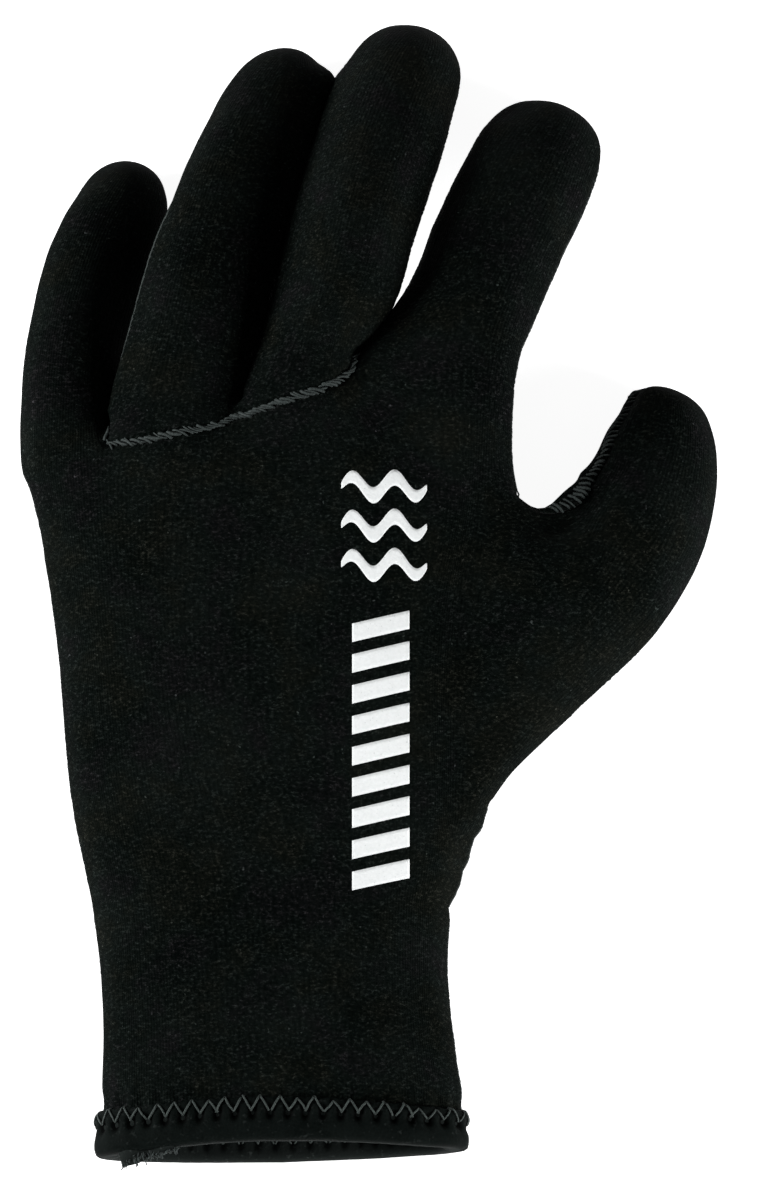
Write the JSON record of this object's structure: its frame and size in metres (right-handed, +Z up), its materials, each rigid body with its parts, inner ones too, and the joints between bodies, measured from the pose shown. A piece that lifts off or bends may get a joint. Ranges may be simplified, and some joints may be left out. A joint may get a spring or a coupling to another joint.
{
  "type": "diving glove",
  "caption": "Five-finger neoprene diving glove for the left hand, lying palm down, with curled fingers, inset finger panel and bound cuff.",
  "frame": {"origin": "under the middle of the glove's box, on the surface it lies on", "axes": "+X towards the thumb side, +Y towards the fingertips, +Z up out of the back of the hand"},
  "size_m": [0.1604, 0.269, 0.04],
  "materials": {
    "neoprene": "matte knitted jersey laminated on neoprene",
    "tape": "smooth woven binding tape, slightly glossy"
  },
  "bodies": {
    "root": {"back_panel": "neoprene", "finger_panel": "neoprene", "palm_panel": "neoprene", "cuff_binding": "tape", "little_underside": "neoprene", "ring_underside": "neoprene", "middle_underside": "neoprene", "index_underside": "neoprene", "thumb_underside": "neoprene"}
  },
  "joints": []
}
